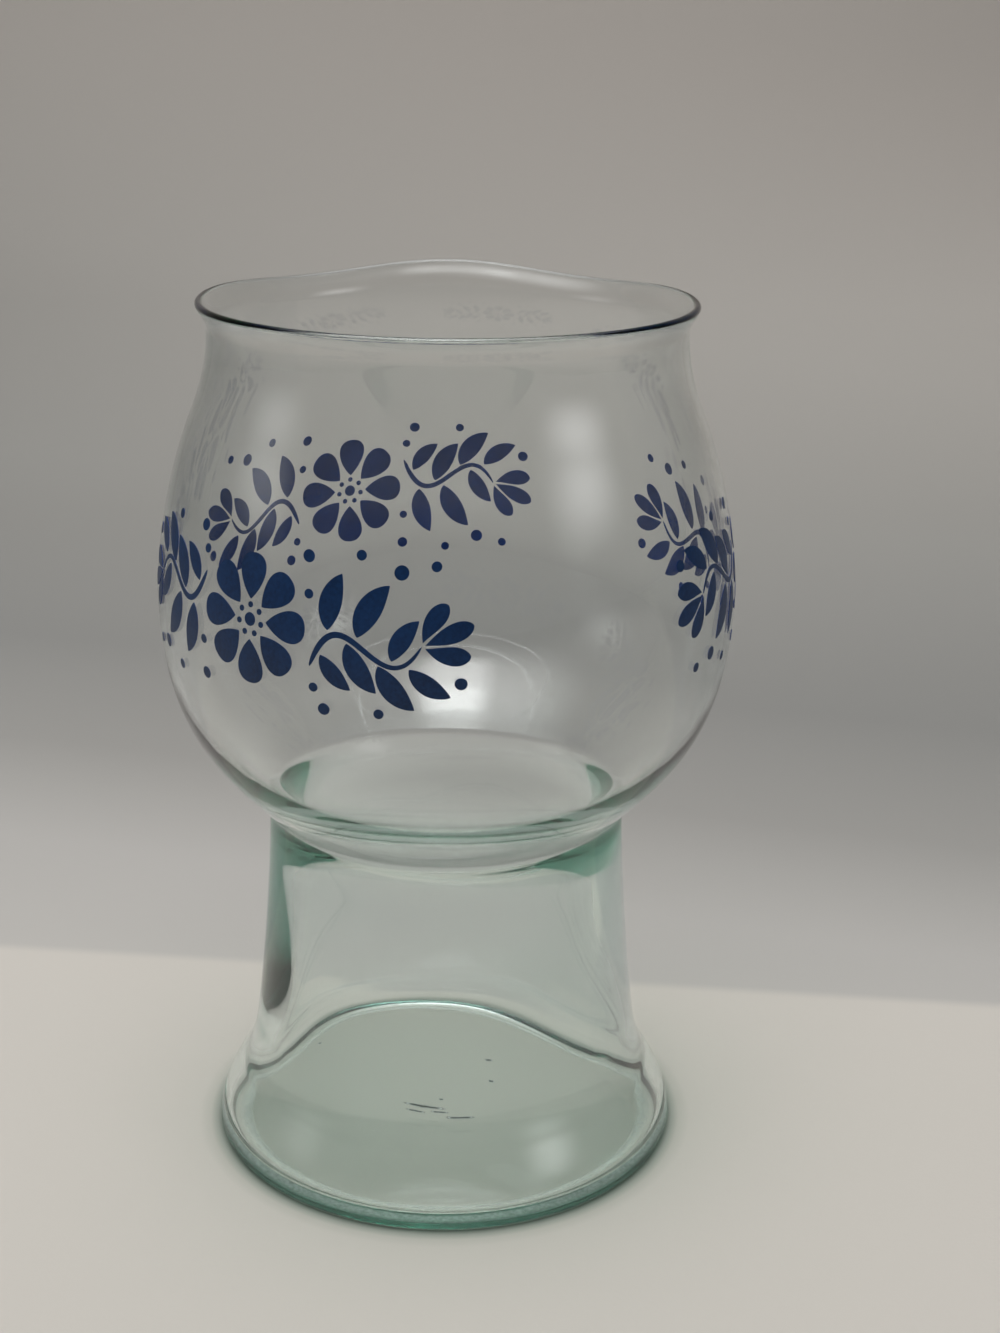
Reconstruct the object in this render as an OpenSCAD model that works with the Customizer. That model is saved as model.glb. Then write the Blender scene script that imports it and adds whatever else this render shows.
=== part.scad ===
// A blown glass vase: a round open bowl over a narrow waist and a flared, hollow foot.
// Three sprays of flowers in fired blue enamel lie on the widest part of the bowl.
// Z is up. The rest ring lies on Z = 0 and the vase stands round the Z axis.

/* [Foot] */
// Outer radius of the foot at its heel
heel_r = 71; // [66:0.5:80]
// Height of the heel's widest point
heel_h = 2; // [1.6:0.1:3]
// Width of the flat ring that the vase stands on
rest_w = 5; // [3:0.5:8]
// How far the outer face draws in from the heel to where the flare turns hollow
flare_in = 7.3; // [5.5:0.1:9]
// Height where the flare turns hollow
flare_h = 19.9; // [17:0.1:22.5]
// How far the outer face draws in from there to where the stem begins
stem_in = 4.9; // [3.5:0.1:6.5]
// Height where the flare ends and the stem begins
stem_h = 34.8; // [30:0.1:40]
// Thickness of the wall at the flare
flare_wall = 4.6; // [3.5:0.1:6]
// Thickness of the wall where the stem begins
stem_wall = 7; // [5:0.1:8]
// Thickness of the floor at its edge
floor_t = 2.6; // [2.2:0.1:4]
// How far the edge of the floor's shallow dish lies in from the heel
floor_in = 8.5; // [7.5:0.1:14]
// How far the floor's upper face rises in the middle
floor_rise = 4; // [2:0.1:6]
// How far the underside rises in the middle
push_up = 1.5; // [0.5:0.1:2]

/* [Waist] */
// Outer radius of the waist
waist_r = 53.4; // [48:0.1:57]
// Height of the waist
waist_h = 103.5; // [88:0.1:117]
// How far the crease over the waist rises
crease_h = 4.1; // [3:0.1:6]
// How far the crease over the waist steps out
crease_w = 1.4; // [0.8:0.1:2]
// Thickness of the wall at the waist
waist_wall = 6.4; // [5.6:0.1:7.4]
// Thickness of the wall at the crease
crease_wall = 5.4; // [4.8:0.1:6.4]

/* [Bowl] */
// Outer radius of the bowl at its widest
belly_r = 83.8; // [76:0.1:92]
// How far the bowl's widest point lies below the rim
belly_drop = 83; // [74:0.5:92]
// How far the shoulder draws in from the bowl's widest radius
shoulder_in = 10.9; // [9:0.1:13]
// How far the shoulder lies below the rim
shoulder_drop = 31.5; // [27:0.5:36]
// Thickness of the bowl's wall
bowl_wall = 2; // [1.6:0.1:3]

/* [Rim] */
// Height of the vase, to the top of the rim
vase_h = 256.6; // [232:0.1:282]
// How far the collar under the rim draws in from the shoulder
collar_in = 5.3; // [4:0.1:6.5]
// How far the collar's narrowest point lies below the rim
collar_drop = 7.5; // [6:0.1:10]
// How far the middle of the rim's bead stands out from the collar's outer face
rim_flare = 1.8; // [1:0.1:3]
// Radius of the rounded bead on the rim
bead_r = 1.1; // [1:0.05:1.4]

/* [Enamel sprays] */
// Thickness of the fired enamel
enamel_t = 0.12; // [0.08:0.01:0.2]
// How far the middle of the sprays lies above the bowl's widest point
spray_lift = 9; // [4:0.5:14]
// Half the width of a spray, along the glass
spray_half_w = 62; // [58:0.5:66]
// Half the height of a spray
spray_half_h = 22; // [20:0.5:24]
// Number of petals on a blossom
petal_count = 8; // [5:1:9]
// Distance from a blossom's centre to its petals
petal_gap = 5.4; // [5:0.1:7]
// Length of a petal
petal_l = 12; // [9:0.1:12.4]
// Width of a petal
petal_w = 8.6; // [5:0.1:9]
// Radius of a blossom's middle disc
eye_r = 1.8; // [1.2:0.1:2]
// Radius of a seed around the middle disc
seed_r = 0.8; // [0.5:0.05:0.85]
// Length of a leaf
leaf_l = 15; // [11:0.1:15.6]
// Width of a leaf
leaf_w = 6; // [4:0.1:6.4]
// Width of a vine where it starts
vine_w = 1.8; // [1:0.1:2]
// Clear glass between a vine and what grows on it
twig_gap = 1; // [0.8:0.1:1.4]
// Length of a bud's middle petal
bud_l = 13; // [10:0.1:13.4]
// Width of a bud's petals
bud_w = 5; // [3.4:0.1:5.2]
// Radius of a large berry
berry_r = 1.9; // [1.4:0.1:2.1]

/* [Hidden] */

$fn = 180;
berry_fn = 40;

// Angles from the front at which the three sprays face outwards
front_angle = -38;
right_angle = 90;
back_angle = 203;

// Angles by which the outer face leans outwards from upright at its stations
flare_angle = -30.3;
stem_angle = -7.9;
crease_angle = 43.4;
shoulder_angle = -22.6;
lip_angle = 18;

// How far each curve keeps its direction at its two ends, as shares of its chord
even_shares = [0.35, 0.35];
stem_shares = [0.29, 0.2];
crease_shares = [0.4, 0.4];
under_shares = [0.28, 0.55];
upper_shares = [0.23, 0.35];

// Stations of the outer face from the heel to the lip: radius and height
heel = [heel_r, heel_h];
flare = [heel_r - flare_in, flare_h];
stem = [flare[0] - stem_in, stem_h];
waist = [waist_r, waist_h];
crease = [waist_r + crease_w, waist_h + crease_h];
belly = [belly_r, vase_h - belly_drop];
shoulder = [belly_r - shoulder_in, vase_h - shoulder_drop];
collar = [shoulder[0] - collar_in, vase_h - collar_drop];
bead = [collar[0] + rim_flare, vase_h - bead_r];
lip = bead + bead_r * [cos(lip_angle), -sin(lip_angle)];

function heading(lean) = [sin(lean), cos(lean)];
function outward(lean) = [cos(lean), -sin(lean)];

// A point on the cubic curve through four control points
function cubic(p, t) =
    pow(1 - t, 3) * p[0] + 3 * pow(1 - t, 2) * t * p[1] + 3 * (1 - t) * t * t * p[2] + pow(t, 3) * p[3];
// The direction of that curve
function cubic_way(p, t) =
    pow(1 - t, 2) * (p[1] - p[0]) + 2 * (1 - t) * t * (p[2] - p[1]) + t * t * (p[3] - p[2]);
function reversed(list) = [for (i = [len(list) - 1:-1:0]) list[i]];

// Control points of one stretch of the outer face, between two stations that lean a and b
function stretch(from, a, to, b, shares) =
    let (chord = norm(to - from))
    [from, from + heading(a) * chord * shares[0], to - heading(b) * chord * shares[1], to];

// Each stretch: its control points, its wall at either end and its number of steps
stretches = [
    [stretch(heel, 0, flare, flare_angle, even_shares), flare_wall, flare_wall, 6],
    [stretch(flare, flare_angle, stem, stem_angle, even_shares), flare_wall, stem_wall, 5],
    [stretch(stem, stem_angle, waist, 0, stem_shares), stem_wall, waist_wall, 10],
    [stretch(waist, 0, crease, crease_angle, crease_shares), waist_wall, crease_wall, 5],
    [stretch(crease, crease_angle, belly, 0, under_shares), crease_wall, bowl_wall, 18],
    [stretch(belly, 0, shoulder, shoulder_angle, upper_shares), bowl_wall, bowl_wall, 14],
    [stretch(shoulder, shoulder_angle, collar, 0, even_shares), bowl_wall, bowl_wall, 8],
    [stretch(collar, 0, lip, lip_angle, even_shares), bowl_wall, 2 * bead_r, 5]
];

// A point of one stretch, moved in from the outer face. The depth changes fast after the start.
function face_point(s, t, depth_a, depth_b) =
    let (way = cubic_way(s[0], t), thinned = 1 - pow(1 - t, 3))
    cubic(s[0], t) - outward(atan2(way[0], way[1])) * (depth_a + (depth_b - depth_a) * thinned);
// Points of one stretch, or of the part between two shares of it
function face_points(s, depth_a, depth_b, from_share = 0, to_share = 1) = [
    for (i = [0:s[3] - 1])
        let (t = i / s[3])
        if (t >= from_share && t < to_share) face_point(s, t, depth_a, depth_b)
];

// The outer face from the rest ring to the lip, with a round heel
rest_r = heel_r - heel_h;
heel_points = [for (a = [-90:15:-15]) [rest_r + heel_h * cos(a), heel_h + heel_h * sin(a)]];
outer_points = [for (s = stretches) each face_points(s, 0, 0)];
bead_points = [for (a = [-lip_angle:10:180 - lip_angle]) bead + bead_r * [cos(a), sin(a)]];

// The inner face, from the floor's corner to the lip. It has every stretch but the heel's.
corner_shares = [0.55, 0.75];
floor_r = heel_r - floor_in;
inner_flare = flare - outward(flare_angle) * flare_wall;
corner = [stretch([floor_r, floor_t], 90, inner_flare, flare_angle, corner_shares), 0, 0, 8];

// Past the crease it turns more gently than the outer face, from a share of the stem's stretch
// to a share of the stretch under the belly
throat_share = 0.77;
joint_share = 0.315;
share_step = 0.01;
throat_shares = [0.45, 0.3];
throat_steps = 14;
function inner_point(s, t) = face_point(s, t, s[1], s[2]);
function inner_lean(s, t) =
    let (way = inner_point(s, t + share_step) - inner_point(s, t - share_step))
    atan2(way[0], way[1]);
throat_curve = stretch(
    inner_point(stretches[2], throat_share), inner_lean(stretches[2], throat_share),
    inner_point(stretches[4], joint_share), inner_lean(stretches[4], joint_share),
    throat_shares
);
function inner_part(i, from_share, to_share) =
    let (s = stretches[i])
    face_points(s, s[1], s[2], from_share, to_share);
inner_points = concat(
    inner_part(1, 0, 1),
    inner_part(2, 0, throat_share),
    face_points([throat_curve, 0, 0, throat_steps], 0, 0),
    inner_part(4, joint_share, 1),
    [for (i = [5:len(stretches) - 1]) each inner_part(i, 0, 1)]
);

// The floor and the underside are shallow dishes that rise to the middle
dish_steps = 8;
rest_in_r = rest_r - rest_w;
function dish_points(r, h, rise) = [
    for (i = [0:dish_steps]) let (share = i / dish_steps) [r * share, h + rise * (1 - share * share)]
];

module glass_vessel()
    color([0.72, 0.83, 0.78, 0.4])
    rotate_extrude()
    polygon(concat(
        dish_points(rest_in_r, 0, push_up),
        heel_points,
        outer_points,
        bead_points,
        reversed(inner_points),
        reversed(face_points(corner, 0, 0)),
        reversed(dish_points(floor_r, floor_t, floor_rise))
    ));

// The skin of enamel all round the bowl, from which the motifs are cut
spray_z = belly[1] + spray_lift;
skin_margin = 6;
bowl_stretches = [stretches[4], stretches[5]];
function in_band(points) = [for (p = points) if (abs(p[1] - spray_z) < spray_half_h + skin_margin) p];
module enamel_skin()
    rotate_extrude()
    polygon(concat(
        in_band([for (s = bowl_stretches) each face_points(s, 0, 0)]),
        reversed(in_band([for (s = bowl_stretches) each face_points(s, -enamel_t, -enamel_t)]))
    ));

// A drawing, in millimetres along the glass and upwards, printed on the bowl at a turn from the front
print_depth = 12;
module printed(turn)
    intersection() {
        enamel_skin();
        rotate([0, 0, turn])
            translate([0, -belly_r + print_depth, spray_z])
            rotate([90, 0, 0])
            linear_extrude(height = 2 * print_depth)
            children();
    }

// How slowly a blade widens from its base and from its tip: a low value makes that end rounder
petal_shares = [0.9, 0.45];
leaf_blade_shares = [0.8, 0.9];
bud_blade_shares = [1.1, 0.6];

// Half the width of a blade at a share of its length
function blade_half(share, w, shares) =
    let (base = shares[0], tip = shares[1], peak = base / (base + tip))
    w / 2 * pow(share, base) * pow(1 - share, tip) / (pow(peak, base) * pow(1 - peak, tip));

// A point on a blade's spine, which bends evenly by an angle over its length
function spine(share, l, bend) =
    abs(bend) < 1 ? [l * share, 0]
    : let (r = l * 180 / (PI * bend)) r * [sin(bend * share), 1 - cos(bend * share)];

blade_steps = 10;
module blade(l, w, bend, shares) {
    places = [for (i = [0:blade_steps]) (1 - cos(180 * i / blade_steps)) / 2];
    function edge(side) = [
        for (u = places)
            spine(u, l, bend) + side * blade_half(u, w, shares) * [-sin(bend * u), cos(bend * u)]
    ];
    left = edge(1);
    right = edge(-1);
    polygon(concat(left, [for (i = [blade_steps - 1:-1:1]) right[i]]));
}
module petal() blade(petal_l, petal_w, 0, petal_shares);
module leaf(size, bend) blade(leaf_l * size, leaf_w * size, bend, leaf_blade_shares);
module bud_petal(size, bend) blade(bud_l * size, bud_w, bend, bud_blade_shares);

// The vine of half a spray. Its control points are shares of the half width and the half height.
vine_shares = [[0.31, -0.42], [0.46, 0.72], [0.62, -0.95], [0.79, -0.08]];
vine = [for (p = vine_shares) [p[0] * spray_half_w, p[1] * spray_half_h]];
vine_steps = 16;
vine_taper_share = 0.4;
// Half the vine's width: it tapers along its length and both its ends are round
function vine_half(t) = vine_w / 2 * (1 - vine_taper_share * t) * sqrt(1 - pow(1 - 2 * t, 8));
function vine_side(t, away) =
    let (way = cubic_way(vine, t))
    cubic(vine, t) + away * [-way[1], way[0]] / norm(way);

// What grows on the vine: share along it, direction, bend and share of the full size
leaf_shares = [
    [0.18, 92, -32, 1.02],
    [0.44, 76, -34, 1.08],
    [0.74, 74, -34, 0.86],
    [0.08, -62, 30, 0.8],
    [0.34, -74, 32, 1],
    [0.62, -68, 34, 1],
    [0.87, -50, 30, 0.86]
];
bud_shares = [
    [1, 24, 0, 1],
    [1, 73, -30, 0.9],
    [1, -25, 30, 0.9]
];
// Berries: places as shares of the half width and the half height, and shares of the full size
berry_shares = [
    [0.3, 0.86, 0.85],
    [0.305, 0.43, 0.65],
    [0.53, 0.93, 0.7],
    [0.7, 0.76, 1],
    [0.84, 0.84, 0.7],
    [0.325, -0.68, 0.65],
    [0.37, -0.94, 0.85],
    [0.61, -0.93, 0.7],
    [0.95, -0.52, 0.85]
];

// A sprig starts a twig's gap clear of the vine
module on_vine(place)
    translate(cubic(vine, place[0]))
    rotate(place[1])
    translate([vine_half(place[0]) + twig_gap, 0])
    children();

module vine_drawing() {
    places = [for (i = [0:vine_steps]) (1 - cos(180 * i / vine_steps)) / 2];
    polygon(concat(
        [for (t = places) vine_side(t, vine_half(t))],
        [for (i = [vine_steps - 1:-1:1]) vine_side(places[i], -vine_half(places[i]))]
    ));
}
module leaf_drawing() for (p = leaf_shares) on_vine(p) leaf(p[3], p[2]);
module bud_drawing() for (p = bud_shares) on_vine(p) bud_petal(p[3], p[2]);
module berry_drawing()
    for (p = berry_shares)
        translate([p[0] * spray_half_w, p[1] * spray_half_h])
        circle(r = berry_r * p[2], $fn = berry_fn);

// Half a spray is drawn about the middle of its own width.
// The other half is the same, turned half round.
half_middle_share = 0.6;
half_middle = half_middle_share * spray_half_w;
half_turn = half_middle * 180 / (PI * belly_r);
module both_halves(turn) {
    printed(turn + half_turn) translate([-half_middle, 0]) children();
    printed(turn - half_turn) rotate(180) translate([-half_middle, 0]) children();
}

enamel_blue = [0.1, 0.17, 0.42];
module petals(turn)
    color(enamel_blue)
    printed(turn)
    for (i = [0:petal_count - 1]) rotate(90 + i * 360 / petal_count) translate([petal_gap, 0]) petal();

seed_count = 7;
seed_ring_share = 0.72;
module seeds(turn)
    color(enamel_blue)
    printed(turn) {
        circle(r = eye_r, $fn = berry_fn);
        for (i = [0:seed_count - 1])
            rotate(90 + i * 360 / seed_count)
            translate([petal_gap * seed_ring_share, 0])
            circle(r = seed_r, $fn = berry_fn);
    }
module vines(turn) color(enamel_blue) both_halves(turn) vine_drawing();
module leaves(turn) color(enamel_blue) both_halves(turn) leaf_drawing();
module buds(turn) color(enamel_blue) both_halves(turn) bud_drawing();
module berries(turn) color(enamel_blue) both_halves(turn) berry_drawing();

glass_vessel();
petals(front_angle);  // front_petals
seeds(front_angle);  // front_seeds
vines(front_angle);  // front_vines
leaves(front_angle);  // front_leaves
buds(front_angle);  // front_buds
berries(front_angle);  // front_berries
petals(right_angle);  // right_petals
seeds(right_angle);  // right_seeds
vines(right_angle);  // right_vines
leaves(right_angle);  // right_leaves
buds(right_angle);  // right_buds
berries(right_angle);  // right_berries
petals(back_angle);  // back_petals
seeds(back_angle);  // back_seeds
vines(back_angle);  // back_vines
leaves(back_angle);  // back_leaves
buds(back_angle);  // back_buds
berries(back_angle);  // back_berries
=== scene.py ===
# A blown glass vase with three sprays of blue enamel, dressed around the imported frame.
import math

import bmesh
import bpy
from mathutils import Matrix, Vector, noise
from mathutils.geometry import interpolate_bezier


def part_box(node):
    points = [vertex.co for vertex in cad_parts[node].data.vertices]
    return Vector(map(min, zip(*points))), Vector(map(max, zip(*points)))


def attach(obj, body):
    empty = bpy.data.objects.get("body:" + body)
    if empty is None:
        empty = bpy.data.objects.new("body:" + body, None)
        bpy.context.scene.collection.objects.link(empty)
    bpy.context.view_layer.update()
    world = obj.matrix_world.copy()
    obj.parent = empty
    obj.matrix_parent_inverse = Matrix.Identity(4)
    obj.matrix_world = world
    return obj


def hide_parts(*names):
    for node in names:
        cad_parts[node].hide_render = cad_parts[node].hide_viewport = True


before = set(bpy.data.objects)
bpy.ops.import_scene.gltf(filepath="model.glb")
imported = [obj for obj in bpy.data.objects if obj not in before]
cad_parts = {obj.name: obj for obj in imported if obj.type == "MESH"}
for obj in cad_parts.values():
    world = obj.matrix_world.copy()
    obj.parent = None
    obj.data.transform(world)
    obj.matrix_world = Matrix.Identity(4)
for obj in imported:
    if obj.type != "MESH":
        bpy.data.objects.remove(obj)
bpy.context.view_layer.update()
mm = 0.001
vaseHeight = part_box("glass_vessel")[1].z
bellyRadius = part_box("glass_vessel")[1].x
print("frame loaded, vase", round(vaseHeight / mm, 1), "mm high")


# Camera

view = {
    "place": (0.0, -0.5634, 0.3381),
    "turn": -1.6,  # degrees round the vertical
    "tilt": -18.67,  # degrees above the horizon
    "roll": 0.75,
    "lens": 54.01,
    "sensor": 36.0,
    "nearest": 0.01,
}


def addCamera():
    data = bpy.data.cameras.new("camera")
    data.lens = view["lens"]
    data.sensor_width = view["sensor"]
    data.clip_start = view["nearest"]
    camera = bpy.data.objects.new("camera", data)
    aim = Matrix.Rotation(math.radians(view["turn"]), 4, "Z")
    aim = aim @ Matrix.Rotation(math.radians(90 + view["tilt"]), 4, "X")
    aim = aim @ Matrix.Rotation(math.radians(view["roll"]), 4, "Z")
    camera.matrix_world = Matrix.Translation(view["place"]) @ aim
    bpy.context.scene.collection.objects.link(camera)
    bpy.context.scene.camera = camera
    print("camera in place")


# Light is led along inside thick glass, so it needs many bounces to get out again
lightPaths = {
    "max_bounces": 40,
    "transmission_bounces": 32,
    "glossy_bounces": 32,
    "transparent_max_bounces": 16,
}


# Shader helpers

def newMaterial(name):
    material = bpy.data.materials.new(name)
    material.use_nodes = True
    material.node_tree.nodes.clear()
    return material


def addNode(tree, kind, **settings):
    # settings are sockets by name, or else properties of the node
    node = tree.nodes.new(kind)
    for key, value in settings.items():
        name = key.replace("_", " ")
        if name in node.inputs:
            node.inputs[name].default_value = value
        else:
            setattr(node, key, value)
    return node


def addMaths(tree, operation, *values, clamped=False):
    node = addNode(tree, "ShaderNodeMath", operation=operation, use_clamp=clamped)
    for socket, value in zip(node.inputs, values):
        if isinstance(value, (int, float)):
            socket.default_value = value
        else:
            tree.links.new(value, socket)
    return node.outputs[0]


def addNoise(tree, coords, scale, detail=2.0, roughness=0.5, stretch=(1, 1, 1)):
    mapping = addNode(tree, "ShaderNodeMapping", Scale=stretch)
    tree.links.new(coords, mapping.inputs["Vector"])
    node = addNode(tree, "ShaderNodeTexNoise", Scale=scale, Detail=detail, Roughness=roughness)
    tree.links.new(mapping.outputs["Vector"], node.inputs["Vector"])
    return node.outputs["Fac"]


def addRamp(tree, factor, stops, smooth=False):
    node = addNode(tree, "ShaderNodeValToRGB")
    ramp = node.color_ramp
    ramp.interpolation = "B_SPLINE" if smooth else "LINEAR"
    while len(ramp.elements) < len(stops):
        ramp.elements.new(0.5)
    for element, (place, colour) in zip(ramp.elements, stops):
        element.position = place
        element.color = (*colour, 1) if isinstance(colour, tuple) else (colour, colour, colour, 1)
    tree.links.new(factor, node.inputs["Fac"])
    return node.outputs["Color"]


def addSpread(tree, value, low, high):
    # 0 below low, 1 above high and a soft step between them
    node = addNode(tree, "ShaderNodeMapRange", interpolation_type="SMOOTHSTEP")
    node.inputs["From Min"].default_value = low
    node.inputs["From Max"].default_value = high
    tree.links.new(value, node.inputs["Value"])
    return node.outputs["Result"]


def addRadius(tree, apart):
    # the distance from the vase's axis
    flat = addNode(tree, "ShaderNodeCombineXYZ")
    tree.links.new(apart.outputs["X"], flat.inputs["X"])
    tree.links.new(apart.outputs["Y"], flat.inputs["Y"])
    length = addNode(tree, "ShaderNodeVectorMath", operation="LENGTH")
    tree.links.new(flat.outputs["Vector"], length.inputs[0])
    return length.outputs["Value"]


# Meshes

def finishMesh(bm, name, materials, smooth=True):
    mesh = bpy.data.meshes.new(name)
    bm.to_mesh(mesh)
    bm.free()
    for material in materials:
        mesh.materials.append(material)
    for face in mesh.polygons:
        face.use_smooth = smooth
    piece = bpy.data.objects.new(name, mesh)
    bpy.context.scene.collection.objects.link(piece)
    return piece


# Glass

glass = {
    "ior": 1.52,
    "absorbColour": (0.18, 0.56, 0.46),
    "absorbDensity": 17.0,
    # what a lamp's light keeps where it meets the glass squarely, and on to where it only grazes it
    "lampTints": (
        (0, (0.965, 0.98, 0.97)),
        (0.3, (0.955, 0.97, 0.96)),
        (0.5, (0.925, 0.945, 0.93)),
        (0.66, (0.88, 0.905, 0.885)),
        (0.83, (0.74, 0.77, 0.75)),
        (1, (0.48, 0.52, 0.49)),
    ),
    "cordScale": 38,  # the faint streaks of blown glass
    "cordStretch": (1, 1, 0.35),
    "cordHeight": 0.06 * mm,
    # the part of the underside that is rubbed dull: where it starts, is full, begins to fade and ends
    "wornRing": (59.4 * mm, 60.8 * mm, 61.8 * mm, 65 * mm),
    "wornHeight": 0.5 * mm,
    "wornAmount": 0.28,
    "wornUneven": 0.5,
    "wornScale": 700,
    "wornColour": (0.8, 0.82, 0.78),
    "wornRoughness": 0.45,
    # scratches and specks on the floor: middle, turn in degrees, how fast each bends,
    # and half its length and width
    "scratches": (
        ((-6.4 * mm, -12.4 * mm), -12, 22, 7.4 * mm, 0.75 * mm),
        ((-9 * mm, -14.6 * mm), -16, 14, 3.4 * mm, 0.5 * mm),
        ((-1.5 * mm, -15 * mm), -4, 12, 3 * mm, 0.5 * mm),
        ((4.8 * mm, -17.2 * mm), 6, 24, 4.8 * mm, 0.7 * mm),
        ((-0.8 * mm, -7.8 * mm), 0, 0, 0.8 * mm, 0.7 * mm),
        ((16 * mm, 7.2 * mm), 0, 0, 0.9 * mm, 0.9 * mm),
        ((16.7 * mm, 20.9 * mm), 20, 0, 1.3 * mm, 1 * mm),
        ((-46 * mm, 30 * mm), 0, 0, 0.8 * mm, 0.6 * mm),
    ),
    "scratchWander": 0.7 * mm,
    "scratchNoise": 420,
    "scratchHeights": (1.8 * mm, 2.2 * mm, 7 * mm, 8 * mm),  # the floor's upper face lies between these
    "scuffColour": (0.03, 0.042, 0.036),
    "scuffRoughness": 0.6,
}


def addScratch(tree, coords, wander, middle, turn, bend, halfLength, halfWidth):
    place = addNode(tree, "ShaderNodeMapping", vector_type="TEXTURE", Location=(*middle, 0))
    place.inputs["Rotation"].default_value = (0, 0, math.radians(turn))
    tree.links.new(coords, place.inputs["Vector"])
    flat = addNode(tree, "ShaderNodeSeparateXYZ")
    tree.links.new(place.outputs["Vector"], flat.inputs["Vector"])
    along, across = flat.outputs["X"], addMaths(tree, "ADD", flat.outputs["Y"], wander)
    curve = addMaths(tree, "MULTIPLY", addMaths(tree, "MULTIPLY", along, along), bend / 2)
    off = addMaths(tree, "ABSOLUTE", addMaths(tree, "SUBTRACT", across, curve))
    line = addSpread(tree, off, halfWidth, halfWidth / 3)  # each scratch fades towards its edges and ends
    ends = addSpread(tree, addMaths(tree, "ABSOLUTE", along), halfLength, halfLength / 2)
    return addMaths(tree, "MULTIPLY", line, ends)


def makeScuffMask(tree, coords, apart):
    # a noise lies round a half, so that half is taken off
    wander = addMaths(tree, "SUBTRACT", addNoise(tree, coords, glass["scratchNoise"]), 0.5)
    wander = addMaths(tree, "MULTIPLY", wander, glass["scratchWander"])
    marks = 0.0
    for scratch in glass["scratches"]:
        marks = addMaths(tree, "MAXIMUM", addScratch(tree, coords, wander, *scratch), marks)
    bottom, full, fades, top = glass["scratchHeights"]
    over = addSpread(tree, apart.outputs["Z"], bottom, full)
    under = addSpread(tree, apart.outputs["Z"], top, fades)
    return addMaths(tree, "MULTIPLY", marks, addMaths(tree, "MULTIPLY", over, under))


def makeWornMask(tree, coords, apart):
    # the fine scratches where the vase has stood
    radius = addRadius(tree, apart)
    starts, full, fades, ends = glass["wornRing"]
    outside = addSpread(tree, radius, starts, full)
    inside = addSpread(tree, radius, ends, fades)
    low = addSpread(tree, apart.outputs["Z"], glass["wornHeight"], glass["wornHeight"] / 2)
    ring = addMaths(tree, "MULTIPLY", addMaths(tree, "MULTIPLY", outside, inside), low)
    grain = addNoise(tree, coords, glass["wornScale"], 3, 0.6)
    uneven = glass["wornUneven"]
    patches = addMaths(tree, "MULTIPLY_ADD", grain, uneven, glass["wornAmount"] - uneven / 2)
    return addMaths(tree, "MULTIPLY", ring, patches)


def makeGlass():
    material = newMaterial("clear_glass")
    tree = material.node_tree
    coords = addNode(tree, "ShaderNodeTexCoord").outputs["Object"]
    apart = addNode(tree, "ShaderNodeSeparateXYZ")
    tree.links.new(coords, apart.inputs["Vector"])
    cords = addNoise(tree, coords, glass["cordScale"], 2, 0.5, glass["cordStretch"])
    bump = addNode(tree, "ShaderNodeBump", Strength=1.0, Distance=glass["cordHeight"])
    tree.links.new(cords, bump.inputs["Height"])
    worn = makeWornMask(tree, coords, apart)
    scuffs = makeScuffMask(tree, coords, apart)
    body = addNode(tree, "ShaderNodeBsdfPrincipled", IOR=glass["ior"])
    rubbed = addRamp(tree, worn, [(0, (1, 1, 1)), (1, glass["wornColour"])])
    marked = addNode(tree, "ShaderNodeMix", data_type="RGBA")
    tree.links.new(scuffs, marked.inputs["Factor"])
    tree.links.new(rubbed, marked.inputs["A"])
    marked.inputs["B"].default_value = (*glass["scuffColour"], 1)
    tree.links.new(marked.outputs["Result"], body.inputs["Base Color"])
    opaque = addMaths(tree, "MAXIMUM", scuffs, worn)
    tree.links.new(addMaths(tree, "SUBTRACT", 1.0, opaque), body.inputs["Transmission Weight"])
    wornRoughness = addMaths(tree, "MULTIPLY", worn, glass["wornRoughness"])
    roughness = addMaths(tree, "MULTIPLY_ADD", scuffs, glass["scuffRoughness"], wornRoughness)
    tree.links.new(roughness, body.inputs["Roughness"])
    tree.links.new(bump.outputs["Normal"], body.inputs["Normal"])
    path = addNode(tree, "ShaderNodeLightPath")
    lampWay = addMaths(tree, "MAXIMUM", path.outputs["Is Shadow Ray"], path.outputs["Is Diffuse Ray"])
    clear = addNode(tree, "ShaderNodeBsdfTransparent")
    facing = addNode(tree, "ShaderNodeLayerWeight", Blend=0.5).outputs["Facing"]
    tree.links.new(addRamp(tree, facing, glass["lampTints"]), clear.inputs["Color"])
    mix = addNode(tree, "ShaderNodeMixShader")
    tree.links.new(lampWay, mix.inputs["Fac"])
    tree.links.new(body.outputs["BSDF"], mix.inputs[1])
    tree.links.new(clear.outputs["BSDF"], mix.inputs[2])
    tint = addNode(tree, "ShaderNodeVolumeAbsorption", Density=glass["absorbDensity"])
    tint.inputs["Color"].default_value = (*glass["absorbColour"], 1)
    out = addNode(tree, "ShaderNodeOutputMaterial")
    tree.links.new(mix.outputs["Shader"], out.inputs["Surface"])
    tree.links.new(tint.outputs["Volume"], out.inputs["Volume"])
    return material


# The vessel: sizes of the outer face, its walls and how far it leans outwards, in degrees

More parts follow.
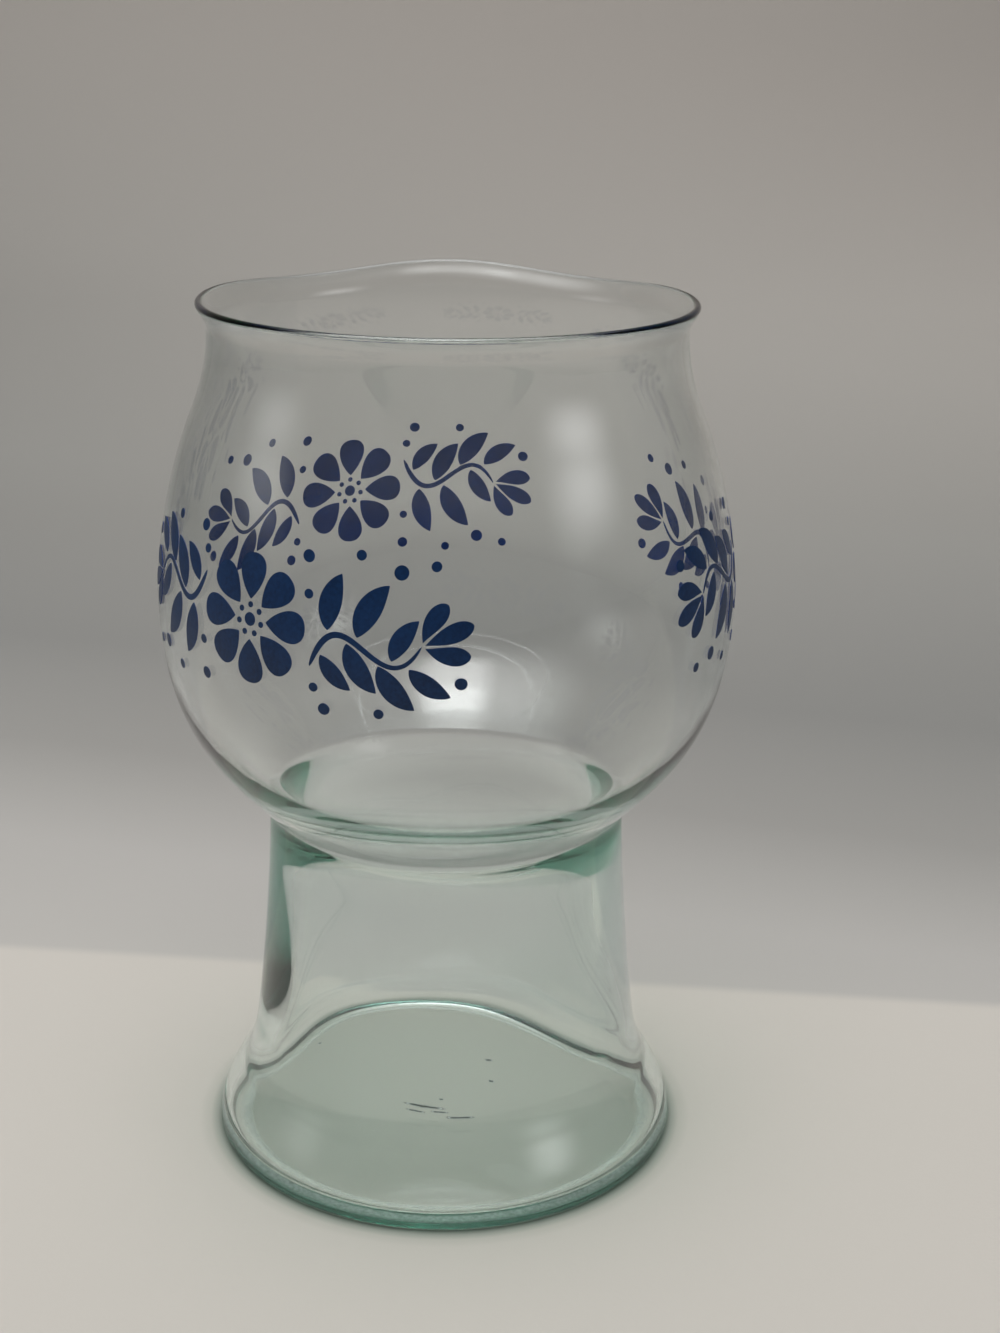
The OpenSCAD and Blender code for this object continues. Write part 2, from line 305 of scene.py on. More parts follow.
vessel = {
    "heelRadius": 71 * mm,
    "heelHeight": 2 * mm,
    "restWidth": 5 * mm,
    "flareIn": 7.3 * mm,
    "flareHeight": 19.9 * mm,
    "flareLean": -30.3,
    "stemIn": 4.9 * mm,
    "stemHeight": 34.8 * mm,
    "stemLean": -7.9,
    "floorThick": 2.6 * mm,
    "floorIn": 8.5 * mm,
    "floorRise": 4 * mm,
    "pushUp": 1.5 * mm,
    "waistRadius": 53.4 * mm,
    "waistHeight": 103.5 * mm,
    "creaseHeight": 4.1 * mm,
    "creaseWidth": 1.4 * mm,
    "creaseLean": 43.4,
    "bellyDrop": 83 * mm,
    "shoulderIn": 10.9 * mm,
    "shoulderDrop": 31.5 * mm,
    "shoulderLean": -22.6,
    "collarIn": 5.3 * mm,
    "collarDrop": 7.5 * mm,
    "rimFlare": 1.8 * mm,
    "beadRadius": 1.1 * mm,
    "lipLean": 24,
    "walls": {"flare": 4.6 * mm, "stem": 5.4 * mm, "waist": 6.4 * mm, "crease": 5.4 * mm, "bowl": 2 * mm},
    # the inner face turns more gently past the crease, from this step of the stem to this one of the bowl
    "throatStep": 20,
    "jointStep": 12,
    "throatShares": (0.45, 0.3),
    "throatSteps": 34,
    # how far each curve keeps its direction at its two ends, as shares of its chord
    "evenShares": (0.35, 0.35),
    "stemShares": (0.29, 0.2),
    "creaseShares": (0.4, 0.4),
    "underShares": (0.28, 0.55),
    "upperShares": (0.23, 0.35),
    "cornerShares": (0.47, 0.68),
    "samePlace": 0.0001 * mm,
    "weld": 0.001 * mm,
    "spinSteps": 192,
    "dishSteps": 20,
    "cornerSteps": 22,
    "heelSteps": 10,
    "beadSteps": 16,
}


def heading(lean):
    return Vector((math.sin(math.radians(lean)), 0, math.cos(math.radians(lean))))


def station(radius, height, lean):
    return Vector((radius, 0, height)), heading(lean)


def stretch(start, end, shares, steps):
    # points from start up to, but not including, end
    (a, leaves), (b, arrives) = start, end
    chord = (b - a).length
    firstHandle = a + leaves * chord * shares[0]
    lastHandle = b - arrives * chord * shares[1]
    return interpolate_bezier(a, firstHandle, lastHandle, b, steps + 1)[:-1]


def arc(middle, radius, fromDegrees, toDegrees, steps):
    angles = [math.radians(fromDegrees + (toDegrees - fromDegrees) * i / steps) for i in range(steps + 1)]
    return [middle + radius * Vector((math.cos(a), 0, math.sin(a))) for a in angles]


def outerStretches():
    # each stretch: start, end, shares, wall at the start, wall at the end and steps
    v, walls = vessel, vessel["walls"]
    heel = station(v["heelRadius"], v["heelHeight"], 0)
    flare = station(v["heelRadius"] - v["flareIn"], v["flareHeight"], v["flareLean"])
    stem = station(flare[0].x - v["stemIn"], v["stemHeight"], v["stemLean"])
    waist = station(v["waistRadius"], v["waistHeight"], 0)
    creaseRadius = v["waistRadius"] + v["creaseWidth"]
    crease = station(creaseRadius, v["waistHeight"] + v["creaseHeight"], v["creaseLean"])
    belly = station(bellyRadius, vaseHeight - v["bellyDrop"], 0)
    shoulder = station(bellyRadius - v["shoulderIn"], vaseHeight - v["shoulderDrop"], v["shoulderLean"])
    collar = station(shoulder[0].x - v["collarIn"], vaseHeight - v["collarDrop"], 0)
    lipMiddle = Vector((collar[0].x + v["rimFlare"], 0, vaseHeight - v["beadRadius"]))
    lipAngle = math.radians(v["lipLean"])
    lipPoint = lipMiddle + v["beadRadius"] * Vector((math.cos(lipAngle), 0, -math.sin(lipAngle)))
    lip = (lipPoint, heading(v["lipLean"]))
    return lipMiddle, [
        (heel, flare, v["evenShares"], walls["flare"], walls["flare"], 12),
        (flare, stem, v["evenShares"], walls["flare"], walls["stem"], 10),
        (stem, waist, v["stemShares"], walls["stem"], walls["waist"], 26),
        (waist, crease, v["creaseShares"], walls["waist"], walls["crease"], 12),
        (crease, belly, v["underShares"], walls["crease"], walls["bowl"], 38),
        (belly, shoulder, v["upperShares"], walls["bowl"], walls["bowl"], 26),
        (shoulder, collar, v["evenShares"], walls["bowl"], walls["bowl"], 14),
        (collar, lip, v["evenShares"], walls["bowl"], 2 * v["beadRadius"], 10),
    ]


def offsetPoint(points, i, depth):
    # the point moved in from the outer face, square to it
    way = (points[min(i + 1, len(points) - 1)] - points[max(i - 1, 0)]).normalized()
    return points[i] - depth * Vector((way.z, 0, -way.x))


def dish(radius, height, rise):
    steps = vessel["dishSteps"]
    shares = [i / steps for i in range(steps + 1)]
    return [Vector((radius * s, 0, height + rise * (1 - s * s))) for s in shares]


def vesselProfile():
    # the outer face from the middle of the underside to the rim, and the inner face back down
    v = vessel
    lipMiddle, stretches = outerStretches()
    outer, depths = [], []
    for start, end, shares, wallStart, wallEnd, steps in stretches:
        outer += stretch(start, end, shares, steps)
        depths += [wallStart + (wallEnd - wallStart) * (1 - (1 - i / steps) ** 3) for i in range(steps)]
    flareSteps = stretches[0][5]
    inner = [offsetPoint(outer, i, depths[i]) for i in range(flareSteps, len(outer))]
    throat = stretches[1][5] + v["throatStep"]
    joint = sum(s[5] for s in stretches[1:4]) + v["jointStep"]
    throatEnds = [(inner[i], (inner[i + 1] - inner[i - 1]).normalized()) for i in (throat, joint)]
    inner[throat:joint] = stretch(*throatEnds, v["throatShares"], v["throatSteps"])
    restRadius = v["heelRadius"] - v["heelHeight"]
    floorRadius = v["heelRadius"] - v["floorIn"]
    heelMiddle = Vector((restRadius, 0, v["heelHeight"]))
    heelTurn = 90 / v["heelSteps"]  # the last step of the heel ends where the outer face starts
    heelArc = arc(heelMiddle, v["heelHeight"], -90, -heelTurn, v["heelSteps"] - 1)
    bead = arc(lipMiddle, v["beadRadius"], -v["lipLean"], 180 - v["lipLean"], v["beadSteps"])
    cornerStart = station(floorRadius, v["floorThick"], 90)
    cornerEnd = (inner[0], heading(v["flareLean"]))
    corner = stretch(cornerStart, cornerEnd, v["cornerShares"], v["cornerSteps"])
    under = dish(restRadius - v["restWidth"], 0, v["pushUp"])
    floor = dish(floorRadius, v["floorThick"], v["floorRise"])
    return under + heelArc + outer + bead, inner[::-1] + corner[::-1] + floor[::-1]


blown = {
    "poleReach": 1 * mm,  # the middle of the floor and of the underside stays as it is
    "lipWave": 2.0 * mm,
    "lipWaves": 4,  # in the whole turn, and they die away from the back to the front
    "lipDepth": 22 * mm,
    "footRipple": 0.15 * mm,
    "bowlRipple": 0.12 * mm,
    "rippleReach": (22, 22, 14),  # waves in a metre
    "rippleGap": 2 * mm,  # the wall is even up to this height over the floor's edge
    "rippleFades": 12 * mm,  # and the ripples grow over this height, or over this width on the floor
    "bowlFades": 20 * mm,  # the foot's ripple turns into the bowl's over this height
    "ripplePlace": 3.1,  # moves the pattern of the ripples
    "swell": 2.1 * mm,  # the foot's wall is thicker on two sides
    "swellTurn": 212,
    "swellHeight": 65.6 * mm,
    "swellReach": 47 * mm,
    "floorRipple": 0.12 * mm,
    "floorWaves": 45,
    "floorReach": 58 * mm,
    "floorPlace": 0.4,
}


def smooth(share):
    share = max(0.0, min(1.0, share))
    return share * share * (3 - 2 * share)


def handWave(co, inside):
    # the wave of the lip, and the uneven wall that blowing by hand leaves
    b = blown
    radius = math.hypot(co.x, co.y)
    if radius < b["poleReach"]:
        return Vector()
    turn = math.atan2(co.x, co.y)  # from the back
    lipShare = smooth((co.z - vaseHeight + b["lipDepth"]) / b["lipDepth"])
    atBack = math.cos(turn / 2) ** 8
    lift = b["lipWave"] * math.cos(b["lipWaves"] * turn) * atBack * lipShare
    move = Vector((0, 0, lift))
    if not inside:
        return move
    bowlShare = smooth((co.z - vessel["waistHeight"]) / b["bowlFades"])
    height = b["footRipple"] + (b["bowlRipple"] - b["footRipple"]) * bowlShare
    overFloor = smooth((co.z - vessel["floorThick"] - b["rippleGap"]) / b["rippleFades"])
    reach = b["rippleReach"]
    place = Vector((co.x * reach[0], co.y * reach[1], co.z * reach[2] + b["ripplePlace"]))
    push = height * noise.noise(place)
    swellShare = smooth(1 - abs(co.z - b["swellHeight"]) / b["swellReach"])
    push -= b["swell"] * swellShare * math.sin(2 * turn + math.radians(b["swellTurn"]))
    move += Vector((co.x, co.y, 0)) / radius * push * (overFloor * (1 - lipShare))
    onFloor = co.z < vessel["flareHeight"] / 2
    floorShare = smooth((b["floorReach"] - radius) / b["rippleFades"]) if onFloor else 0
    wave = noise.noise(Vector((co.x * b["floorWaves"], co.y * b["floorWaves"], b["floorPlace"])))
    move += Vector((0, 0, b["floorRipple"] * wave * floorShare))
    return move


def makeVessel(material):
    outerPoints, innerPoints = vesselProfile()
    bm = bmesh.new()
    insideLayer = bm.verts.layers.float.new("inside")
    line = []
    for points, inside in ((outerPoints, 0.0), (innerPoints, 1.0)):
        for point in points:
            if line and (line[-1].co - point).length < vessel["samePlace"]:
                continue
            vert = bm.verts.new(point)
            vert[insideLayer] = inside
            line.append(vert)
    edges = [bm.edges.new(pair) for pair in zip(line, line[1:])]
    bmesh.ops.spin(
        bm, geom=line + edges, cent=(0, 0, 0), axis=(0, 0, 1), dvec=(0, 0, 0),
        angle=2 * math.pi, steps=vessel["spinSteps"], use_merge=True, use_duplicate=False,
    )
    bmesh.ops.remove_doubles(bm, verts=bm.verts, dist=vessel["weld"])
    for vert in bm.verts:
        vert.co += handWave(vert.co, vert[insideLayer] > 0.5)
    bmesh.ops.recalc_face_normals(bm, faces=bm.faces)
    print("vessel", len(bm.verts), "verts,", sum(v[insideLayer] > 0.5 for v in bm.verts), "inside")
    return finishMesh(bm, "vessel", [material])


# Enamel

enamel = {
    "sunk": 0.04 * mm,
    "proud": 0.09 * mm,
    "lattice": 2.0 * mm,
    "lift": 9 * mm,
    "halfWidth": 62 * mm,
    "halfHeight": 22 * mm,
    "halfMiddle": 0.6,
    "colour": (0.0055, 0.03, 0.1),
    "lightenedColourInside": (0.003, 0.03, 0.17),  # a brighter blue, painted in to make up for the little light that reaches the inner face through the glass
    "gloss": 0.3,
    "roughness": (0.3, 0.5),
    "grainScale": 900,
    "blotchScale": 70,
    "blotchShare": 0.4,  # of the mottle, and the rest is grain
    "mottleSpan": (0.35, 0.65),
    "darkest": 0.78,  # shares of the colour at the span's two ends
    "lightest": 1.35,
    "grainHeight": 0.004 * mm,
}

spray = {
    "petalCount": 8,
    "petalGap": 5.4 * mm,
    "petal": (12 * mm, 8.6 * mm, 0.9, 0.45),
    "leaf": (15 * mm, 6 * mm, 0.8, 0.9),
    "budPetal": (13 * mm, 5 * mm, 1.1, 0.6),
    "eyeRadius": 1.8 * mm,
    "seedRadius": 0.8 * mm,
    "seedCount": 7,
    "seedRing": 0.72,
    "vineWidth": 1.8 * mm,
    "vineTaper": 0.4,
    "vineRound": 8,  # the higher, the blunter its ends
    "twigGap": 1 * mm,
    "berryRadius": 1.9 * mm,
    "vine": ((0.31, -0.42), (0.46, 0.72), (0.62, -0.95), (0.79, -0.08)),
    # share along the vine, direction, bend and share of the full size
    "leaves": (
        (0.18, 92, -32, 1.02),
        (0.44, 76, -34, 1.08),
        (0.74, 74, -34, 0.86),
        (0.08, -62, 30, 0.8),
        (0.34, -74, 32, 1),
        (0.62, -68, 34, 1),
        (0.87, -50, 30, 0.86),
    ),
    "buds": ((1, 24, 0, 1), (1, 73, -30, 0.9), (1, -25, 30, 0.9)),
    # shares of the half width and half height, and of the full size
    "berries": (
        (0.3, 0.86, 0.85),
        (0.305, 0.43, 0.65),
        (0.53, 0.93, 0.7),
        (0.7, 0.76, 1),
        (0.84, 0.84, 0.7),
        (0.325, -0.68, 0.65),
        (0.37, -0.94, 0.85),
        (0.61, -0.93, 0.7),
        (0.95, -0.52, 0.85),
    ),
}


def turned(point, degrees):
    c, s = math.cos(math.radians(degrees)), math.sin(math.radians(degrees))
    return Vector((point.x * c - point.y * s, point.x * s + point.y * c))


def blade(size, bend=0, scale=1, widthScale=None, steps=28):
    # a petal or leaf: length, width, and how slowly it widens from its base and narrows to its tip
    length, width, base, tip = size
    length = length * scale
    width = width * (scale if widthScale is None else widthScale)
    peak = base / (base + tip)
    most = peak ** base * (1 - peak) ** tip
    left, right = [], []
    for i in range(steps + 1):
        share = (1 - math.cos(math.pi * i / steps)) / 2
        a = math.radians(bend * share)
        if bend:
            spine = length / math.radians(bend) * Vector((math.sin(a), 1 - math.cos(a)))
        else:
            spine = Vector((length * share, 0))
        half = width / 2 * share ** base * (1 - share) ** tip / most
        side = half * Vector((-math.sin(a), math.cos(a)))
        left.append(spine + side)
        right.append(spine - side)
    return left + right[-2:0:-1]


def disc(middle, radius, steps=32):
    return [middle + turned(Vector((radius, 0)), 360 * i / steps) for i in range(steps)]


def placed(outline, direction, start):
    return [start + turned(p, direction) for p in outline]


def vinePoint(share):
    p = [Vector((x * enamel["halfWidth"], y * enamel["halfHeight"])) for x, y in spray["vine"]]
    s = 1 - share
    return s ** 3 * p[0] + 3 * s * s * share * p[1] + 3 * s * share * share * p[2] + share ** 3 * p[3]


def vineHalf(share):
    taper = 1 - spray["vineTaper"] * share
    ends = math.sqrt(max(0, 1 - (1 - 2 * share) ** spray["vineRound"]))
    return spray["vineWidth"] / 2 * taper * ends


def vineOutline(steps=48):
    left, right = [], []
    for i in range(steps + 1):
        share = (1 - math.cos(math.pi * i / steps)) / 2
        way = (vinePoint(share + 1e-4) - vinePoint(share - 1e-4)).normalized()
        side = Vector((-way.y, way.x)) * vineHalf(share)
        left.append(vinePoint(share) + side)
        right.append(vinePoint(share) - side)
    return left + right[-2:0:-1]


def onVine(place, outline):
    share, direction = place[0], place[1]
    start = vinePoint(share) + turned(Vector((vineHalf(share) + spray["twigGap"], 0)), direction)
    return placed(outline, direction, start)


def petalOutlines():
    step = 360 / spray["petalCount"]
    angles = [90 + i * step for i in range(spray["petalCount"])]
    return [placed(blade(spray["petal"]), a, turned(Vector((spray["petalGap"], 0)), a)) for a in angles]


def seedOutlines():
    ring = spray["petalGap"] * spray["seedRing"]
    angles = [90 + i * 360 / spray["seedCount"] for i in range(spray["seedCount"])]
    seeds = [disc(turned(Vector((ring, 0)), a), spray["seedRadius"], 20) for a in angles]
    return [disc(Vector((0, 0)), spray["eyeRadius"], 36)] + seeds


def leafOutlines():
    return [onVine(p, blade(spray["leaf"], p[2], p[3])) for p in spray["leaves"]]


def budOutlines():
    return [onVine(p, blade(spray["budPetal"], p[2], p[3], 1)) for p in spray["buds"]]


def berryOutlines():
    return [
        disc(Vector((x * enamel["halfWidth"], y * enamel["halfHeight"])), spray["berryRadius"] * size)
        for x, y, size in spray["berries"]
    ]


def outerFaceTable():
    # the outer face of the bowl from the crease to the shoulder, as close points from the bottom up
    stretches = outerStretches()[1]
    points = []
    for start, end, shares, wallStart, wallEnd, steps in stretches[4:6]:
        points += stretch(start, end, shares, steps * 3)
    return points


bowlFace = outerFaceTable()


def onBowl(height):
    # radius and outward direction of the bowl's outer face at a height
    for low, high in zip(bowlFace, bowlFace[1:]):
        if low.z <= height <= high.z:
            point = low.lerp(high, (height - low.z) / (high.z - low.z))
            way = (high - low).normalized()
            return point.x, way.z, -way.x


def wrapped(co, turn):
    # a point drawn flat, with its depth as z, laid on the bowl and turned from the front
    height = vaseHeight - vessel["bellyDrop"] + enamel["lift"] + co.y
    radius, out, up = onBowl(height)
    angle = math.asin(co.x / radius) + math.radians(turn) - math.pi / 2
    reach = radius + co.z * out
    return Vector((reach * math.cos(angle), reach * math.sin(angle), height + co.z * up))


def makeMotifs(name, materials, prints):
    # prints: flat outlines with the turn at which each is laid on the bowl
    bm = bmesh.new()
    for outlines, turn in prints:
        flat = bmesh.new()
        for outline in outlines:
            flat.faces.new([flat.verts.new((p.x, p.y, -enamel["sunk"])) for p in outline])
        for axis in (Vector((1, 0, 0)), Vector((0, 1, 0))):
            reach = max(abs(v.co.dot(axis)) for v in flat.verts)
            count = int(reach / enamel["lattice"])
            for i in range(-count, count + 1):
                geom = flat.verts[:] + flat.edges[:] + flat.faces[:]
                cut = axis * i * enamel["lattice"]
                bmesh.ops.bisect_plane(flat, geom=geom, dist=1e-7, plane_co=cut, plane_no=axis)
        for face in flat.faces:
            face.material_index = 1
        extruded = bmesh.ops.extrude_face_region(flat, geom=flat.faces[:])
        for face in extruded["geom"]:
            if isinstance(face, bmesh.types.BMFace):
                face.material_index = 0
        top = [v for v in extruded["geom"] if isinstance(v, bmesh.types.BMVert)]
        bmesh.ops.translate(flat, verts=top, vec=(0, 0, enamel["sunk"] + enamel["proud"]))
        for vert in flat.verts:
            vert.co = wrapped(vert.co, turn)
        mesh = bpy.data.meshes.new("print")
        flat.to_mesh(mesh)
        flat.free()
        bm.from_mesh(mesh)
        bpy.data.meshes.remove(mesh)
    bmesh.ops.recalc_face_normals(bm, faces=bm.faces)
    return finishMesh(bm, name, materials, smooth=False)


def halfPrints(outlines, turn):
    middle = enamel["halfMiddle"] * enamel["halfWidth"]
    halfTurn = math.degrees(middle / bellyRadius)
    shifted = [[p - Vector((middle, 0)) for p in outline] for outline in outlines]
    flipped = [[-p for p in outline] for outline in shifted]
    return [(shifted, turn + halfTurn), (flipped, turn - halfTurn)]


def makeEnamel(name, colour, gloss):
    material = newMaterial(name)
    tree = material.node_tree
    coords = addNode(tree, "ShaderNodeTexCoord").outputs["Object"]
    grain = addNoise(tree, coords, enamel["grainScale"], 3, 0.6)
    blotch = addNoise(tree, coords, enamel["blotchScale"], 2, 0.5)
    coarse = addMaths(tree, "MULTIPLY", blotch, enamel["blotchShare"])
    mottle = addMaths(tree, "MULTIPLY_ADD", grain, 1 - enamel["blotchShare"], coarse)
    dark = tuple(enamel["darkest"] * c for c in colour)
    light = tuple(enamel["lightest"] * c for c in colour)
    low, high = enamel["mottleSpan"]
    body = addNode(tree, "ShaderNodeBsdfPrincipled", Specular_IOR_Level=gloss)
    tree.links.new(addRamp(tree, mottle, [(low, dark), (high, light)]), body.inputs["Base Color"])
    dull, glossy = enamel["roughness"]
    tree.links.new(addMaths(tree, "MULTIPLY_ADD", blotch, glossy - dull, dull), body.inputs["Roughness"])
    bump = addNode(tree, "ShaderNodeBump", Distance=enamel["grainHeight"])
    tree.links.new(grain, bump.inputs["Height"])
    tree.links.new(bump.outputs["Normal"], body.inputs["Normal"])
    out = addNode(tree, "ShaderNodeOutputMaterial")
    tree.links.new(body.outputs["BSDF"], out.inputs["Surface"])
    return material


# each spray faces this many degrees round from the front
sprays = {"front": -38, "right": 90, "back": 203}


def makeSprays(materials):
    for side, turn in sprays.items():
        groups = {
            "petals": [(petalOutlines(), turn)],
            "seeds": [(seedOutlines(), turn)],
            "vines": halfPrints([vineOutline()], turn),
            "leaves": halfPrints(leafOutlines(), turn),
            "buds": halfPrints(budOutlines(), turn),
            "berries": halfPrints(berryOutlines(), turn),
        }
        for group, prints in groups.items():
            piece = makeMotifs(side + group.capitalize(), materials, prints)
            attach(piece, "root")
            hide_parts(side + "_" + group)
    print("enamel sprays laid on")


# Floor and backdrop: one sweep of paper, with light and shade painted into its colour from the floor up its
# back

room = {
    "wallPlace": 1.25,
    "sweepRadius": 0.5,
    "sweepSteps": 24,
    "halfWidth": 3.0,
    "wallTop": 2.4,
    "front": -1.8,
    # painted shade: towards its front edge, out of the picture, the paper's colour darkens
    "paintedFrontShade": (-1.5, -0.35),
    "frontKept": 0.1,  # share of its colour
    "below": 0.15 * mm,
    "paintedShadeReach": 1.6,
    "paintedShadeLean": 0.3,  # how far the painted shading slants down to the right
    "edgePlace": 0.0895,
    "edgeLean": 0.128,
    "edgeSoft": 4 * mm,
    "floorColour": (0.585, 0.552, 0.505),
    # painted shadow where the foot meets the paper: from the middle outwards, and what each colour keeps
    "paintedContactShadow": (
        (66 * mm, (1, 1, 1)),
        (68.4 * mm, (0.86, 0.89, 0.88)),
        (70 * mm, (0.1, 0.14, 0.12)),
        (71 * mm, (0.34, 0.4, 0.38)),
        (72.2 * mm, (0.58, 0.64, 0.62)),
        (74.5 * mm, (0.88, 0.9, 0.89)),
        (78 * mm, (1, 1, 1)),
    ),
    # painted light and shade: colour at a distance along the paper behind the vase, darkest at middle height
    # and lighter towards the floor and the top
    "paintedWallShades": (
        (0.06, (0.478, 0.46, 0.433)),
        (0.16, (0.443, 0.428, 0.407)),
        (0.27, (0.313, 0.305, 0.288)),
        (0.42, (0.264, 0.261, 0.249)),
        (0.8, (0.378, 0.37, 0.348)),
        (1.15, (0.442, 0.422, 0.392)),
        (1.55, (0.454, 0.42, 0.386)),
    ),
    # painted light: how much lighter the wall is for each metre to the right, at a distance along the paper
    "paintedWallSlopes": ((0.1, 0), (0.21, 0), (0.42, -0.2), (0.8, 0), (1.15, 0.25), (1.5, -0.05)),
    "fibreScale": 700,
    "fibreHeight": 0.05 * mm,
    "roughness": 0.9,
}


def addPaintedContactShadow(tree, apart):
    # painted shadow: the paper's colour darkens in a ring round the foot
    r = room
    first, last = r["paintedContactShadow"][0][0], r["paintedContactShadow"][-1][0]
    reach = last - first
    share = addMaths(tree, "MULTIPLY_ADD", addRadius(tree, apart), 1 / reach, -first / reach)
    stops = []
    for radius, kept in r["paintedContactShadow"]:
        shade = tuple(k * c for k, c in zip(kept, r["floorColour"]))
        stops.append(((radius - first) / reach, shade))
    return addRamp(tree, share, stops)


def makePaper():
    r = room
    material = newMaterial("paper")
    tree = material.node_tree
    coords = addNode(tree, "ShaderNodeTexCoord").outputs["Object"]
    apart = addNode(tree, "ShaderNodeSeparateXYZ")
    tree.links.new(coords, apart.inputs["Vector"])
    across = apart.outputs["X"]
    along = addMaths(tree, "ADD", apart.outputs["Y"], apart.outputs["Z"])
    # painted light and shade: the wall's colour comes from its place along the paper and to the side
    slanted = addMaths(tree, "MULTIPLY_ADD", across, r["paintedShadeLean"], along)
    share = addMaths(tree, "DIVIDE", slanted, r["paintedShadeReach"])
    wall = addRamp(tree, share, [(place / r["paintedShadeReach"], colour) for place, colour in r["paintedWallShades"]])
    # a ramp holds no colour below nothing, so the slopes are lifted by one and lowered again
    slopes = [(place / r["paintedShadeReach"], 1 + slope) for place, slope in r["paintedWallSlopes"]]
    lifted = addRamp(tree, addMaths(tree, "DIVIDE", along, r["paintedShadeReach"]), slopes)
    slope = addMaths(tree, "MULTIPLY_ADD", across, addMaths(tree, "SUBTRACT", lifted, 1.0), 1.0)
    scaled = addNode(tree, "ShaderNodeVectorMath", operation="SCALE")
    tree.links.new(wall, scaled.inputs[0])
    tree.links.new(slope, scaled.inputs["Scale"])
    edge = addMaths(tree, "MULTIPLY_ADD", across, r["edgeLean"], along)
    behind = addSpread(tree, edge, r["edgePlace"] - r["edgeSoft"], r["edgePlace"] + r["edgeSoft"])
    both = addNode(tree, "ShaderNodeMix", data_type="RGBA")
    tree.links.new(behind, both.inputs["Factor"])
    near = addNode(tree, "ShaderNodeVectorMath", operation="SCALE")
    # painted shadow round the foot
    tree.links.new(addPaintedContactShadow(tree, apart), near.inputs[0])
    # painted shade: the paper's colour darkens towards its front edge
    lit = addSpread(tree, apart.outputs["Y"], *r["paintedFrontShade"])
    kept = addMaths(tree, "MULTIPLY_ADD", lit, 1 - r["frontKept"], r["frontKept"])
    tree.links.new(kept, near.inputs["Scale"])
    tree.links.new(near.outputs["Vector"], both.inputs["A"])
    tree.links.new(scaled.outputs["Vector"], both.inputs["B"])
    body = addNode(tree, "ShaderNodeBsdfPrincipled", Roughness=r["roughness"])
    tree.links.new(both.outputs["Result"], body.inputs["Base Color"])
    bump = addNode(tree, "ShaderNodeBump", Distance=r["fibreHeight"])
    tree.links.new(addNoise(tree, coords, r["fibreScale"], 3, 0.6), bump.inputs["Height"])
    tree.links.new(bump.outputs["Normal"], body.inputs["Normal"])
    out = addNode(tree, "ShaderNodeOutputMaterial")
    tree.links.new(body.outputs["BSDF"], out.inputs["Surface"])
    return material


def makeRoom():
    r = room
    bm = bmesh.new()
    line = [bm.verts.new((-r["halfWidth"], r["front"], -r["below"]))]
    sweepMiddle = Vector((-r["halfWidth"], r["wallPlace"] - r["sweepRadius"], r["sweepRadius"] - r["below"]))
    for i in range(r["sweepSteps"] + 1):
        a = math.radians(-90 + 90 * i / r["sweepSteps"])
        line.append(bm.verts.new(sweepMiddle + r["sweepRadius"] * Vector((0, math.cos(a), math.sin(a)))))
    line.append(bm.verts.new((-r["halfWidth"], r["wallPlace"], r["wallTop"])))
    edges = [bm.edges.new(pair) for pair in zip(line, line[1:])]
    made = bmesh.ops.extrude_edge_only(bm, edges=edges)
    moved = [v for v in made["geom"] if isinstance(v, bmesh.types.BMVert)]
    bmesh.ops.translate(bm, verts=moved, vec=(2 * r["halfWidth"], 0, 0))
    bmesh.ops.recalc_face_normals(bm, faces=bm.faces)
    finishMesh(bm, "paperSweep", [makePaper()])
    print("paper laid and swept up")


# Light

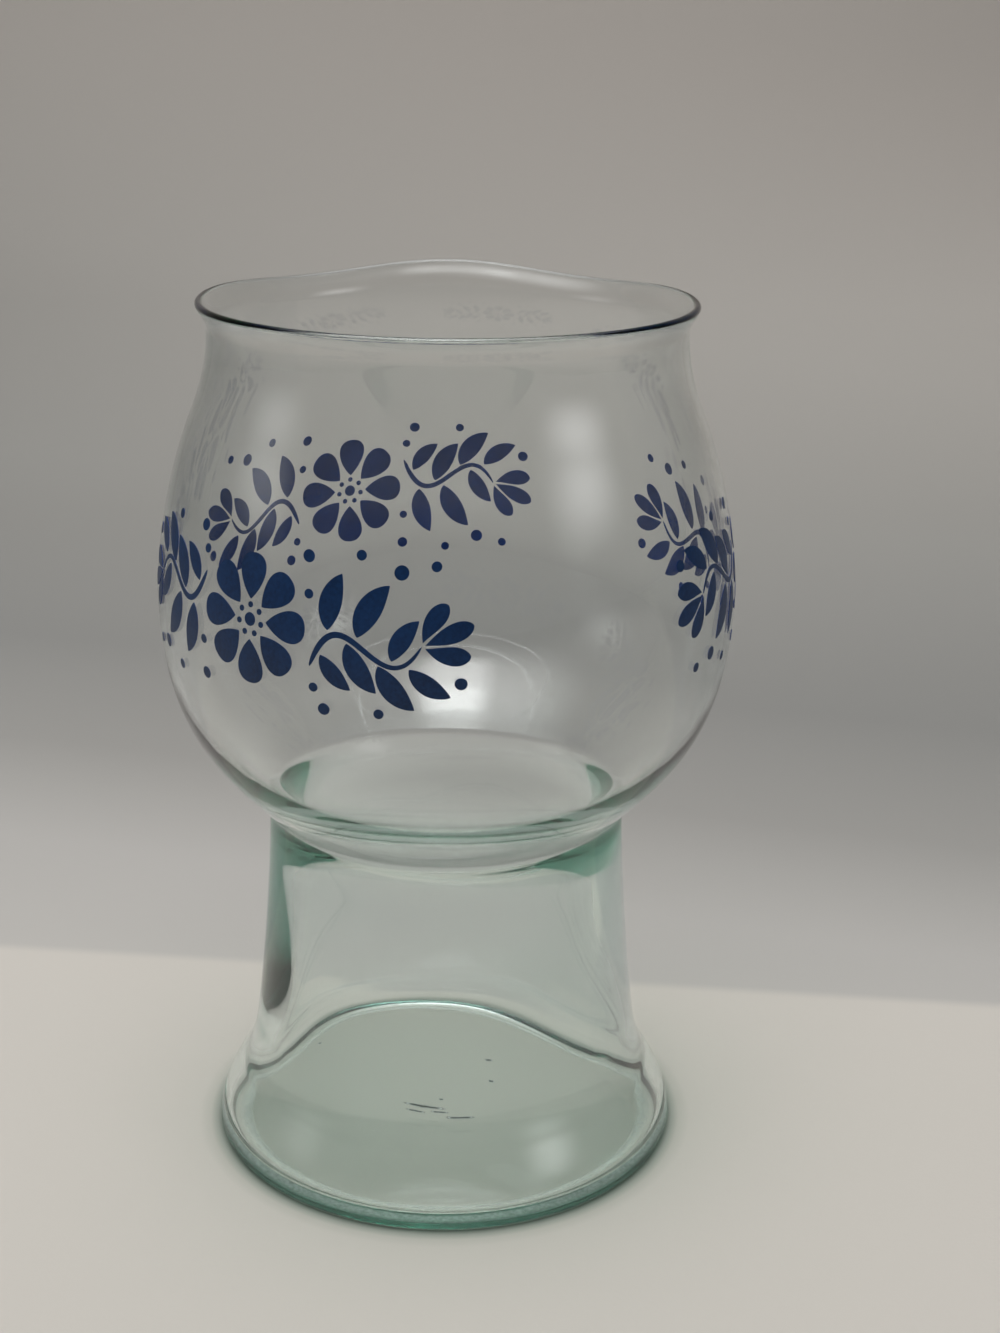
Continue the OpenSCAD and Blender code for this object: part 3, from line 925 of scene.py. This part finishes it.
lights = {
    "worldColour": (0.97, 0.985, 1),
    "worldLevel": 0.07,
    # place, size, power in watts and the share of the half width over which the light fades out
    "softboxes": {
        "overhead": ((-0.1, 0.08, 1.4), (3, 2.2), 68, 0.9),
        "frontLeft": ((-0.06, -0.42, 1.35), (0.8, 0.55), 8, 0.7),
        "windowRight": ((1.3, -0.78, 0.72), (1.2, 0.9), 7.6, 1),
        "windowLeft": ((-1.5, -0.2, 0.58), (1.1, 0.8), 2.8, 1),
    },
}


def addSoftbox(name, place, size, power, fade):
    lamp = bpy.data.lights.new(name, "AREA")
    lamp.shape = "RECTANGLE"
    lamp.size, lamp.size_y = size
    lamp.energy = power
    lamp.use_nodes = True
    tree = lamp.node_tree
    tree.nodes.clear()
    spot = addNode(tree, "ShaderNodeSeparateXYZ")
    tree.links.new(addNode(tree, "ShaderNodeNewGeometry").outputs["Parametric"], spot.inputs["Vector"])
    fades = []
    for axis in ("X", "Y"):  # each runs from 0 to 1 over the lamp's face
        fromMiddle = addMaths(tree, "ABSOLUTE", addMaths(tree, "SUBTRACT", spot.outputs[axis], 0.5))
        fades.append(addSpread(tree, fromMiddle, 0.5, 0.5 - fade / 2))
    glow = addNode(tree, "ShaderNodeEmission")
    tree.links.new(addMaths(tree, "MULTIPLY", *fades), glow.inputs["Strength"])
    out = addNode(tree, "ShaderNodeOutputLight")
    tree.links.new(glow.outputs["Emission"], out.inputs["Surface"])
    piece = bpy.data.objects.new(name, lamp)
    piece.location = place
    piece.rotation_euler = (-Vector(place)).to_track_quat("-Z", "Y").to_euler()
    bpy.context.scene.collection.objects.link(piece)


def addWorld():
    world = bpy.data.worlds.new("room")
    world.use_nodes = True
    background = world.node_tree.nodes["Background"]
    background.inputs["Color"].default_value = (*lights["worldColour"], 1)
    background.inputs["Strength"].default_value = lights["worldLevel"]
    bpy.context.scene.world = world


addCamera()
makeRoom()
addWorld()
for name, settings in lights["softboxes"].items():
    addSoftbox(name, *settings)
print(len(lights["softboxes"]), "softboxes lit")
vase = makeVessel(makeGlass())
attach(vase, "root")
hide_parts("glass_vessel")
# the enamel's inner face lies against the glass, so it has no gloss of its own, and its colour is a brighter
# blue painted in for the little light that reaches it
makeSprays([
    makeEnamel("blue_enamel", enamel["colour"], enamel["gloss"]),
    makeEnamel("blue_enamel_inside", enamel["lightenedColourInside"], 0),
])

for name, value in lightPaths.items():
    setattr(bpy.context.scene.cycles, name, value)
bpy.context.scene.view_settings.view_transform = "Standard"
